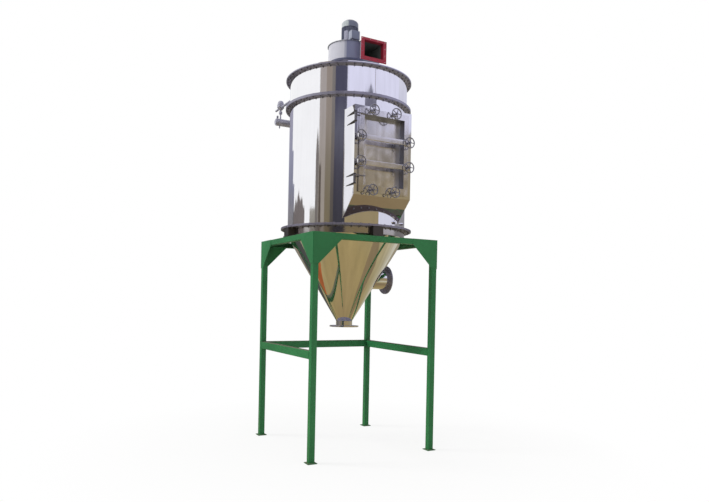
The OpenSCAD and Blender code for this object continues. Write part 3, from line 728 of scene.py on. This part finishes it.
def soften(name, width, mat=None, segments=2, shortest=0.0):
    """Stands a copy with rounded edges in the place of a CAD node."""
    weld_distance = 0.000004
    flat_angle = math.radians(0.4)
    sharp_angle = math.radians(30.0)
    bm = bmesh.new()
    bm.from_mesh(nodes[name].data)
    bmesh.ops.remove_doubles(bm, verts=bm.verts, dist=weld_distance)
    bmesh.ops.dissolve_limit(bm, angle_limit=flat_angle, verts=bm.verts, edges=bm.edges)
    sharp = []
    for edge in bm.edges:
        if len(edge.link_faces) != 2 or edge.calc_length() < shortest:
            continue
        if edge.calc_face_angle() > sharp_angle:
            sharp.append(edge)
    bmesh.ops.bevel(bm, geom=sharp, offset=width, segments=segments, profile=0.5,
                    affect="EDGES", clamp_overlap=True, loop_slide=True)
    slot = {part["node"]: part["material_slot"] for part in record["subparts"]}[name]
    obj = add_piece(name + "_shown", bm, body_of_node(name), mat or slot)
    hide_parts(name)
    return obj


def placed(position, axis):
    """A matrix that stands a local +Z shape at a position along an axis."""
    turn = Vector(axis).to_track_quat("Z", "Y").to_matrix().to_4x4()
    return Matrix.Translation(position) @ turn


def on_circle(radius, a, z=0.0):
    """A point on a level circle on the Z axis, at an angle in radians."""
    return Vector((radius * math.cos(a), radius * math.sin(a), z))


def raised(spot, height):
    """A spot moved up by a height."""
    return spot + Vector((0.0, 0.0, height))


def bridge(bm, sections):
    """Joins closed sections in a row, one of which may be a vertex; returns the rows of faces."""
    rows = []
    for first, second in zip(sections, sections[1:]):
        count = max(len(first), len(second))
        row = []
        for k in range(count):
            n = (k + 1) % count
            if len(first) == 1:
                corners = (first[0], second[n], second[k])
            elif len(second) == 1:
                corners = (first[k], first[n], second[0])
            else:
                corners = (first[k], first[n], second[n], second[k])
            row.append(bm.faces.new(corners))
        rows.append(row)
    return rows


def sweep(bm, sections):
    """A solid through closed sections of points, capped at both ends."""
    rings = [[bm.verts.new(point) for point in section] for section in sections]
    bridge(bm, rings)
    bm.faces.new(rings[0])
    bm.faces.new(list(reversed(rings[-1])))


def turned_rings(bm, profile, segments, matrix, phase=0.0):
    """A ring of vertices for each (radius, height) pair; a zero radius gives one vertex."""
    rings = []
    for radius, height in profile:
        ring = []
        for index in range(segments if radius > 0.0 else 1):
            a = phase + 2.0 * math.pi * index / segments
            ring.append(bm.verts.new(matrix @ on_circle(radius, a, height)))
        rings.append(ring)
    return rings


def lathe(bm, profile, segments, matrix, phase=0.0):
    """Turns (radius, height) pairs about the local Z axis; zero radii close the ends."""
    bridge(bm, turned_rings(bm, profile, segments, matrix, phase))


def hex_bolt(bm, position, axis, thread, turned=0.0):
    """A washer and a chamfered hexagon head on a face; thread is the bolt's radius."""
    matrix = placed(position, axis)
    washer = thread * 2.0
    washer_top = thread * 0.35
    flat = thread * 1.75
    head_low = thread * 0.3
    chamfer = thread * 1.35
    head_top = thread * 1.6
    lathe(bm, [(0.0, 0.0), (washer, 0.0), (washer, washer_top), (0.0, washer_top)], 16, matrix)
    lathe(bm, [(0.0, head_low), (flat, head_low), (flat, chamfer),
               (flat * 0.86, head_top), (0.0, head_top)], 6, matrix, turned)


def hex_nut(bm, position, axis, thread, turned):
    """A nut with the end of its bolt standing out of it."""
    hex_bolt(bm, position, axis, thread, turned)
    matrix = placed(position, axis)
    shank = thread * 0.95
    tip = thread * 2.8
    lathe(bm, [(0.0, thread), (shank, thread), (shank, thread * 2.5),
               (thread * 0.75, tip), (0.0, tip)], 12, matrix)


def weld_bead(bm, points, radius, outward, closed=False):
    """A rippled bead along a path, half sunk into the work; outward gives its top side."""
    sides = 6
    flatness = 0.7
    count = len(points)
    rings = []
    for index, point in enumerate(points):
        before = points[index - 1] if index or closed else points[0]
        after = points[(index + 1) % count] if index < count - 1 or closed else points[-1]
        along = (after - before).normalized()
        side = along.cross(outward(point)).normalized()
        top = side.cross(along).normalized()
        swell = radius * (0.86 + 0.14 * (index % 3))
        ring = []
        for k in range(sides):
            a = 2.0 * math.pi * k / sides
            ring.append(bm.verts.new(
                point + side * (math.cos(a) * swell) + top * (math.sin(a) * swell * flatness)))
        rings.append(ring)
    if closed:
        bridge(bm, rings + rings[:1])
    else:
        bridge(bm, rings)
        bm.faces.new(rings[0])
        bm.faces.new(rings[-1])


def line_points(start, end):
    """Points at an even step from start to end."""
    step = 0.008
    start = Vector(start)
    end = Vector(end)
    count = max(2, int((end - start).length / step))
    return [start.lerp(end, index / count) for index in range(count + 1)]


def circle_points(radius, z, step=0.010):
    """Points round a level circle on the vessel's axis."""
    count = max(12, int(2.0 * math.pi * radius / step))
    return [on_circle(radius, 2.0 * math.pi * index / count, z) for index in range(count)]


def from_axis(point):
    """The direction away from the vessel's axis."""
    return Vector((point.x, point.y, 0.0)).normalized()


# ---- Rounded edges ----

def soften_nodes():
    """The pressed, cut and welded pieces lose their knife edges."""
    for name in ("legs", "top_beams", "cross_braces"):
        soften(name, 0.004, segments=3)
    for name in ("gusset_plates", "base_plates"):
        soften(name, 0.0012, shortest=0.01)
    soften("support_lugs", 0.0012, mat="black_iron", shortest=0.004)
    for name in ("header_brackets", "hinge_arms"):
        soften(name, 0.0012, shortest=0.004)
    soften("hinge_ears", 0.0012, mat="black_iron", shortest=0.004)
    dress_pan(soften("door_panel", 0.0028, segments=3, shortest=0.02))
    soften("door_gasket", 0.0024, segments=3)
    for name in ("clamp_bar_upper", "clamp_bar_lower"):
        soften(name, 0.0035, segments=3, shortest=0.02)
    soften("access_housing", 0.0016, shortest=0.02)
    soften("terminal_box", 0.006, mat="box_paint", segments=3)
    soften("fan_outlet_flange", 0.0012, shortest=0.02)


# ---- Bolts ----

UP = (0, 0, 1)
DOWN = (0, 0, -1)


def flange_bolts():
    """Bolts through the three flanges of the vessel, heads above and nuts below."""
    bolts = 48
    thread = 0.005
    wide_circle = SHELL_R + 0.045
    circle = SHELL_R + 0.026
    bm = bmesh.new()
    rows = ((wide_circle, JOINT_LOW + LOW_FLANGE, JOINT_LOW - LOW_FLANGE),
            (circle, JOINT_MID + MID_FLANGE, JOINT_MID - MID_FLANGE),
            (circle, ROOF_TOP, ROOF_TOP - ROOF_FLANGE))
    for radius, above, below in rows:
        for index in range(bolts):
            spot = on_circle(radius, 2.0 * math.pi * index / bolts)
            twist = math.sin(index * 2.7)
            hex_bolt(bm, raised(spot, above), UP, thread, twist)
            hex_nut(bm, raised(spot, below), DOWN, thread, -twist)
    add_piece("flange_bolts", bm, "collector", "old_zinc")


def fan_bolts():
    """Bolts on the fan neck's foot, the motor's foot and the scroll's rim."""
    foot_circle = 0.180
    motor_circle = 0.0955
    rim_start = 0.215
    rim_growth = 0.00019
    rim_width = 0.005
    foot_thread = 0.005
    motor_thread = 0.004
    rim_thread = 0.0022
    bm = bmesh.new()
    for index in range(12):
        spot = direction(15.0 + 30.0 * index) * foot_circle
        hex_bolt(bm, raised(spot, ROOF_TOP + FAN_FOOT), UP, foot_thread, index)
    for index in range(4):
        spot = direction(45.0 + 90.0 * index) * motor_circle
        hex_bolt(bm, raised(spot, SCROLL_TOP + MOTOR_FOOT), UP, motor_thread, index)
    for index in range(22):
        turn = 8.0 + 12.0 * index
        a = math.radians(-90.0 - turn)
        radius = rim_start + rim_growth * turn + rim_width
        hex_bolt(bm, on_circle(radius, a, SCROLL_TOP), UP, rim_thread, index)
    add_piece("fan_bolts", bm, "collector", "zinc")


def row_place(row):
    """The place across the vessel of a row of bags, and of the pulse valve that cleans it."""
    return (row - 0.5 * (BAG_ROWS - 1)) * ROW_PITCH


def valve_bolts():
    """Six bolts that clamp the dome of each pulse valve."""
    rim_z = 3.921
    circle = 0.0345
    thread = 0.003
    bm = bmesh.new()
    for row in range(BAG_ROWS):
        middle = Vector((row_place(row), HEADER_Y, rim_z))
        for index in range(6):
            offset = direction(30.0 + 60.0 * index) * circle
            hex_bolt(bm, middle + offset, UP, thread, index)
    add_piece("valve_bolts", bm, "collector", "zinc")


def wheel_nuts():
    """A lock nut on the screw behind each hand wheel; it turns with the wheel."""
    behind = Vector((0.0, 0.0105, 0.0))
    thread = 0.0045
    for joint in record["behaviour"]["joints"]:
        if not joint["name"].startswith("wheel_"):
            continue
        bm = bmesh.new()
        hex_bolt(bm, Vector(joint["pos_m"]) + behind, (0, 1, 0), thread)
        add_piece(joint["child"] + "_nut", bm, joint["child"], "zinc")


# ---- Welds ----

def vessel_welds():
    """Seams of the stainless vessel and its fittings."""
    seam = 0.0022
    fillet = 0.0028
    chamber_azimuth = -2.7
    shell_azimuth = 166.0
    bm = bmesh.new()
    uprights = ((chamber_azimuth, JOINT_MID + MID_FLANGE, ROOF_TOP - ROOF_FLANGE),
                (shell_azimuth, JOINT_LOW + LOW_FLANGE, JOINT_MID - MID_FLANGE))
    for azimuth, bottom, top in uprights:
        spot = direction(azimuth) * SHELL_R
        weld_bead(bm, line_points(raised(spot, bottom), raised(spot, top)), seam, from_axis)
    for z, radius in ((SKIRT_LOW, SHELL_R), (NECK_TOP, NECK_R)):
        weld_bead(bm, circle_points(radius, z), seam, from_axis, closed=True)
    feet = ((OUTLET_TOP, NECK_R), (ROOF_TOP + FAN_FOOT, FAN_NECK_R), (SCROLL_LOW, FAN_NECK_R))
    for z, radius in feet:
        weld_bead(bm, circle_points(radius, z, 0.006), fillet, from_axis, closed=True)
    housing_seam(bm)
    add_piece("vessel_welds", bm, "collector", "weld_metal", 60.0)


def housing_seam(bm):
    """The bead where the sides, top and slope of the access housing meet the round shell."""
    bead = 0.003
    steps = 80
    meet = -math.sqrt(SHELL_R ** 2 - HOUSING_HALF ** 2)
    bottom = HOUSING_LOW + HOUSING_SLOPE * (HOUSING_FRONT - meet)
    for side in (-1.0, 1.0):
        x = side * HOUSING_HALF
        weld_bead(bm, line_points((x, meet, bottom), (x, meet, HOUSING_TOP)), bead,
                  lambda point, s=side: Vector((s, -0.6, 0.0)).normalized())
    for z, slope in ((HOUSING_TOP, 0.0), (HOUSING_LOW, HOUSING_SLOPE)):
        points = []
        for index in range(steps + 1):
            x = -HOUSING_HALF + 2.0 * HOUSING_HALF * index / steps
            y = -math.sqrt(SHELL_R ** 2 - x * x)
            points.append(Vector((x, y, z + slope * (HOUSING_FRONT - y))))
        weld_bead(bm, points, bead, from_axis)


def foot_welds(bm, corner):
    """The fillet round the foot of a leg, on its base plate."""
    bead = 0.003
    h = LEG_HALF
    ring = [(-h, -h), (h, -h), (h, h), (-h, h), (-h, -h)]
    for (x0, y0), (x1, y1) in zip(ring, ring[1:]):
        middle = corner + Vector((x0 + x1, y0 + y1, 0.0)) * 0.5
        outward = (middle - corner).normalized() + Vector((0, 0, 1))
        start = corner + Vector((x0, y0, FOOT_TOP))
        end = corner + Vector((x1, y1, FOOT_TOP))
        weld_bead(bm, line_points(start, end), bead, lambda point, o=outward: o.normalized())


def beam_welds(bm, corner, sx, sy):
    """Upright fillets where the top beams and the braces meet a leg; the front has no brace."""
    bead = 0.0026
    for axis, across in ((Vector((-sx, 0, 0)), Vector((0, sy, 0))),
                         (Vector((0, -sy, 0)), Vector((sx, 0, 0)))):
        front = sy < 0 and axis.x != 0.0
        joint = corner + axis * LEG_HALF
        spans = [BEAM_SPAN] if front else [BEAM_SPAN, BRACE_SPAN]
        for low, high in spans:
            for s in (-1.0, 1.0):
                edge = joint + across * (s * LEG_HALF)
                outward = (across * s + axis).normalized()
                weld_bead(bm, line_points(raised(edge, low), raised(edge, high)), bead,
                          lambda point, o=outward: o)


def stand_welds():
    """Fillets between the legs, beams, braces and plates of the stand, painted over."""
    bm = bmesh.new()
    for sx in (-1.0, 1.0):
        for sy in (-1.0, 1.0):
            corner = Vector((sx * LEG_AT, sy * LEG_AT, 0.0))
            foot_welds(bm, corner)
            beam_welds(bm, corner, sx, sy)
    add_piece("stand_welds", bm, "collector", "green_paint", 60.0)


# ---- Fan and motor ----

def motor_cowl():
    """The cowl over the cooling fan, with a rolled rim and rows of air slots in its dome."""
    base = SCROLL_TOP + 0.212
    side = COWL_R - 0.0015
    skirt = 0.045
    dome = 0.048
    slot_rows = (8, 10)
    slot_depth = 0.0035
    profile = [(COWL_R - 0.004, 0.0), (COWL_R, 0.0), (COWL_R, 0.004), (side, 0.007),
               (side, skirt)]
    for degrees in (8, 16, 24, 31, 45, 49, 62, 66, 78):
        a = math.radians(degrees)
        profile.append((side * math.cos(a), skirt + dome * math.sin(a)))
    profile.append((0.0, skirt + dome - 0.0002))
    bm = bmesh.new()
    heights = [(radius, base + height) for radius, height in profile]
    rings = turned_rings(bm, heights, 72, Matrix.Identity(4))
    rows = bridge(bm, rings)
    bm.faces.new(list(reversed(rings[0])))
    slots = [face for row in slot_rows for index, face in enumerate(rows[row]) if index % 3]
    bmesh.ops.inset_individual(bm, faces=slots, thickness=0.0006, depth=0.0)
    bmesh.ops.recalc_face_normals(bm, faces=bm.faces)
    for face in slots:
        push = face.normal * -slot_depth
        for vert in face.verts:
            vert.co += push
    obj = add_piece("motor_cowl_shown", bm, "collector", "cowl_paint", 30.0)
    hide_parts("motor_cowl")


def name_plate():
    """A blank plate riveted to the motor's ribs, bent to their circle."""
    inner = 0.0945
    outer = 0.0962
    low = SCROLL_TOP + 0.060
    high = SCROLL_TOP + 0.160
    start = -70.0
    sweep_angle = 30.0
    steps = 12
    rivet_turn = 4.0
    rivet_edge = 0.008
    bm = bmesh.new()
    sections = []
    for index in range(steps + 1):
        d = direction(start + sweep_angle * index / steps)
        outline = ((inner, low), (outer, low), (outer, high), (inner, high))
        sections.append([(d.x * radius, d.y * radius, z) for radius, z in outline])
    sweep(bm, sections)
    for azimuth in (start + rivet_turn, start + sweep_angle - rivet_turn):
        for z in (low + rivet_edge, high - rivet_edge):
            d = direction(azimuth)
            lathe(bm, [(0.0, 0.0), (0.003, 0.0), (0.0025, 0.0012), (0.0, 0.0018)], 12,
                  placed(raised(d * outer, z), d))
    add_piece("name_plate", bm, "collector", "plate_alloy")


def terminal_box_details():
    """Four lid screws and two plugged cable glands on the terminal box, and its lid seam."""
    front = -0.155
    left, right = -0.059, 0.046
    low = SCROLL_TOP + 0.043
    high = low + 0.098
    screw_edge = 0.012
    gland_y = -0.115
    bm = bmesh.new()
    for x in (left + screw_edge, right - screw_edge):
        for z in (low + screw_edge, high - screw_edge):
            lathe(bm, [(0.0, 0.0), (0.0042, 0.0), (0.0042, 0.002), (0.003, 0.0032), (0.0, 0.0034)],
                  16, placed((x, front, z), (0, -1, 0)))
    for x in (-0.030, 0.016):
        matrix = placed((x, gland_y, low), DOWN)
        lathe(bm, [(0.0, 0.0), (0.012, 0.0), (0.012, 0.007), (0.0, 0.007)], 6, matrix)
        lathe(bm, [(0.0, 0.006), (0.009, 0.006), (0.008, 0.018), (0.0, 0.019)], 20, matrix)
    add_piece("terminal_box_fittings", bm, "collector", "dark_iron")
    bm = bmesh.new()
    seam = front + 0.018
    proud = 0.0006
    corners = [(left - proud, low - proud), (right + proud, low - proud),
               (right + proud, high + proud), (left - proud, high + proud)]
    sweep(bm, [[(x, y, z) for x, z in corners] for y in (seam, seam + 0.002)])
    add_piece("terminal_box_seam", bm, "collector", "gasket_rubber")


# ---- Filter bags ----

def bag_spots():
    """The places of the bags: rows across the vessel, as far as its wall lets them."""
    seats = 6
    seat_pitch = 0.180
    collar_r = 0.072
    gap = 0.005
    wall = 0.004
    spots = []
    for row in range(BAG_ROWS):
        for seat in range(seats):
            x = row_place(row)
            y = (seat - 0.5 * (seats - 1)) * seat_pitch
            if math.hypot(x, y) + collar_r + gap < SHELL_R - wall:
                spots.append((x, y))
    return spots


def sleeve_rings(bm, inner):
    """The rings of a sleeve's outer or inner skin; it sinks in between the cage wires."""
    length = 1.128
    radius = 0.0615
    thick = 0.0022
    sag = 0.0034
    wires = 8
    around = 32
    rows = 22
    inset = thick if inner else 0.0
    rings = []
    for row in range(rows + 1):
        share = row / rows
        grip = min(1.0, 6.0 * share, 8.0 * (1.0 - share))
        z = -length * (1.0 - share) + (inset if row == 0 else 0.0)
        ring = []
        for index in range(around):
            a = 2.0 * math.pi * index / around
            scallop = 0.5 - 0.5 * math.cos(wires * a)
            ripple = 0.25 * math.sin(17.0 * share + 3.0 * a)
            r = radius - sag * grip * scallop * (1.0 + ripple) - inset
            ring.append(bm.verts.new(on_circle(r, a, z)))
        rings.append(ring)
    return rings


def sleeve_mesh():
    """A felt sleeve sucked in between the wires of its cage, closed below and open above."""
    bm = bmesh.new()
    rims = []
    for inner in (False, True):
        rings = sleeve_rings(bm, inner)
        bridge(bm, rings)
        bottom = rings[0]
        centre = bm.verts.new((0.0, 0.0, bottom[0].co.z))
        for index, vert in enumerate(bottom):
            bm.faces.new((vert, bottom[(index + 1) % len(bottom)], centre))
        rims.append(rings[-1])
    bridge(bm, rims)
    bmesh.ops.recalc_face_normals(bm, faces=bm.faces)
    mesh = bpy.data.meshes.new("bag_sleeve")
    bm.to_mesh(mesh)
    bm.free()
    for polygon in mesh.polygons:
        polygon.use_smooth = True
    mesh.materials.append(materials["felt"])
    return mesh


def filter_bags():
    """One felt sleeve for each bag, and the rolled collars that seat on the tube sheet."""
    seat_z = JOINT_MID + 0.003
    mesh = sleeve_mesh()
    collars = bmesh.new()
    profile = [(0.0255, -0.055), (0.0290, -0.004), (0.0600, -0.002), (0.0600, -0.030),
               (0.0612, -0.030), (0.0618, 0.0), (0.0715, 0.0), (0.0720, 0.0022),
               (0.0705, 0.0048), (0.0300, 0.0048), (0.0245, -0.0005), (0.0240, -0.055),
               (0.0255, -0.055)]
    first = None
    for number, (x, y) in enumerate(bag_spots()):
        sleeve = new_object("bag_sleeve_%02d" % (number + 1), mesh)
        sleeve.location = (x, y, seat_z - 0.0005)
        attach(sleeve, "collector")
        first = first or sleeve
        lathe(collars, profile, 24, Matrix.Translation((x, y, seat_z)))
    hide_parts("filter_bags")
    bmesh.ops.remove_doubles(collars, verts=collars.verts, dist=0.00001)
    add_piece("bag_collars", collars, "collector", "dull_stainless")


# ---- Air header ----

def header_straps():
    """A strap over the header at each of its two brackets."""
    inner = 0.0422
    outer = 0.0442
    half_width = 0.015
    bracket_x = 0.300
    start = -4.0
    wrap = 188.0
    steps = 24
    bm = bmesh.new()
    for x in (-bracket_x, bracket_x):
        outline = ((inner, x - half_width), (outer, x - half_width),
                   (outer, x + half_width), (inner, x + half_width))
        sections = []
        for index in range(steps + 1):
            a = math.radians(start + wrap * index / steps)
            sections.append([(along, HEADER_Y + r * math.cos(a), HEADER_Z + r * math.sin(a))
                             for r, along in outline])
        sweep(bm, sections)
    add_piece("header_straps", bm, "collector", "zinc")


bpy.context.scene.view_settings.view_transform = "Standard"
make_camera()
make_world()
make_lamps()
make_floor()
make_cards()
materials = make_materials()
dress_nodes()
dress_duct_inside()
soften_nodes()
flange_bolts()
fan_bolts()
valve_bolts()
wheel_nuts()
vessel_welds()
stand_welds()
motor_cowl()
name_plate()
terminal_box_details()
filter_bags()
header_straps()
